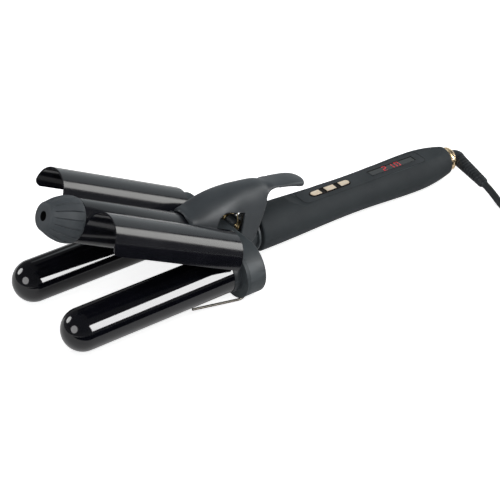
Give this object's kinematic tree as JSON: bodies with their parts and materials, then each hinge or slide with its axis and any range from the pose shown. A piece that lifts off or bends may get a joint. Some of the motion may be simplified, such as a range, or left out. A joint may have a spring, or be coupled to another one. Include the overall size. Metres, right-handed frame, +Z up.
{
  "type": "hair waver",
  "caption": "Hair waver with parallel barrels, a hinged jaw with half-round wings and a thumb lever, folding wire stand, round handle and swivel cord.",
  "frame": {"origin": "middle of the appliance's length and width, on the surface it rests on; its cord is left out of this", "axes": "+X from the barrel tips to the cord, +Y to the left barrel seen from the handle, +Z up"},
  "size_m": [0.3988, 0.2624, 0.1098],
  "materials": {
    "barrel_black": "gloss titanium-look coating",
    "collar_grey": "satin heat-resistant plastic",
    "heater_alloy": "plain",
    "fuse_case": "plain",
    "grey_plastic": "soft-touch matte",
    "screw_steel": "plain",
    "spring_wire": "passivated spring steel",
    "stand_steel": "bright drawn wire",
    "black_plastic": "satin heat-resistant plastic",
    "wing_black": "satin black coating",
    "bracket_steel": "zinc plated sheet",
    "panel_black": "satin",
    "bezel_black": "gloss",
    "pale_gold": "metallised satin gold",
    "window_black": "gloss smoked lens",
    "module_black": "plain",
    "board_green": "solder mask",
    "switch_metal": "plain",
    "silicone_red": "silicone sleeve",
    "cord_black": "matte moulded",
    "pin_metal": "nickel plated"
  },
  "bodies": {
    "body": {"outer_barrel_left": "barrel_black", "outer_barrel_right": "barrel_black", "barrel_collar_left": "collar_grey", "barrel_collar_right": "collar_grey", "heater_left": "heater_alloy", "heater_right": "heater_alloy", "barrel_fuses": "fuse_case", "yoke_housing": "grey_plastic", "yoke_front_plate": "grey_plastic", "yoke_screws": "screw_steel", "hinge_pin": "screw_steel", "handle_top_shell": "grey_plastic", "handle_bottom_shell": "grey_plastic", "handle_screws": "screw_steel", "control_panel": "panel_black", "button_bezel": "bezel_black", "display_window": "window_black", "display_module": "module_black", "circuit_board": "board_green", "tact_switches": "switch_metal", "wire_sleeve": "silicone_red", "tail_ring": "pale_gold"},
    "jaw": {"centre_barrel": "barrel_black", "cool_tip": "black_plastic", "wing_left": "wing_black", "wing_right": "wing_black", "heater_centre": "heater_alloy", "jaw_fuse": "fuse_case", "jaw_saddle": "black_plastic", "jaw_bracket": "bracket_steel", "lever_shell": "grey_plastic", "lever_screw": "screw_steel", "torsion_spring": "spring_wire"},
    "stand": {"stand_wire": "stand_steel"},
    "swivel": {"strain_relief": "cord_black", "cord_lead": "cord_black", "cord_coil": "cord_black", "cord_tail": "cord_black", "plug_body": "cord_black", "plug_pins": "pin_metal"},
    "minus_key": {"minus_button": "pale_gold"},
    "plus_key": {"plus_button": "pale_gold"},
    "power_key": {"power_button": "pale_gold"}
  },
  "joints": [
    {"name": "jaw_hinge", "type": "hinge", "parent": "body", "child": "jaw", "pos_m": [-0.02395, 0, 0.03398], "axis": [0, -1, 0], "range_deg": [-5, 26.8], "stiffness_Nm_per_rad": 0.25, "springref_deg": 77.92},
    {"name": "stand_fold", "type": "hinge", "parent": "body", "child": "stand", "pos_m": [-0.04145, 0, 0.00738], "axis": [0, -1, 0], "range_deg": [0, 85]},
    {"name": "cord_swivel", "type": "hinge", "parent": "body", "child": "swivel", "pos_m": [0.18845, 0, 0.01537], "axis": [0.9995, 0, -0.0319], "continuous": true},
    {"name": "minus_press", "type": "slide", "parent": "body", "child": "minus_key", "axis": [-0.0319, 0, -0.9995], "range_m": [0, 0.0005], "stiffness_N_per_m": 1500, "springref_m": -0.0002},
    {"name": "plus_press", "type": "slide", "parent": "body", "child": "plus_key", "axis": [-0.0319, 0, -0.9995], "range_m": [0, 0.0005], "stiffness_N_per_m": 1500, "springref_m": -0.0002},
    {"name": "power_press", "type": "slide", "parent": "body", "child": "power_key", "axis": [-0.0319, 0, -0.9995], "range_m": [0, 0.0005], "stiffness_N_per_m": 1500, "springref_m": -0.0002}
  ]
}
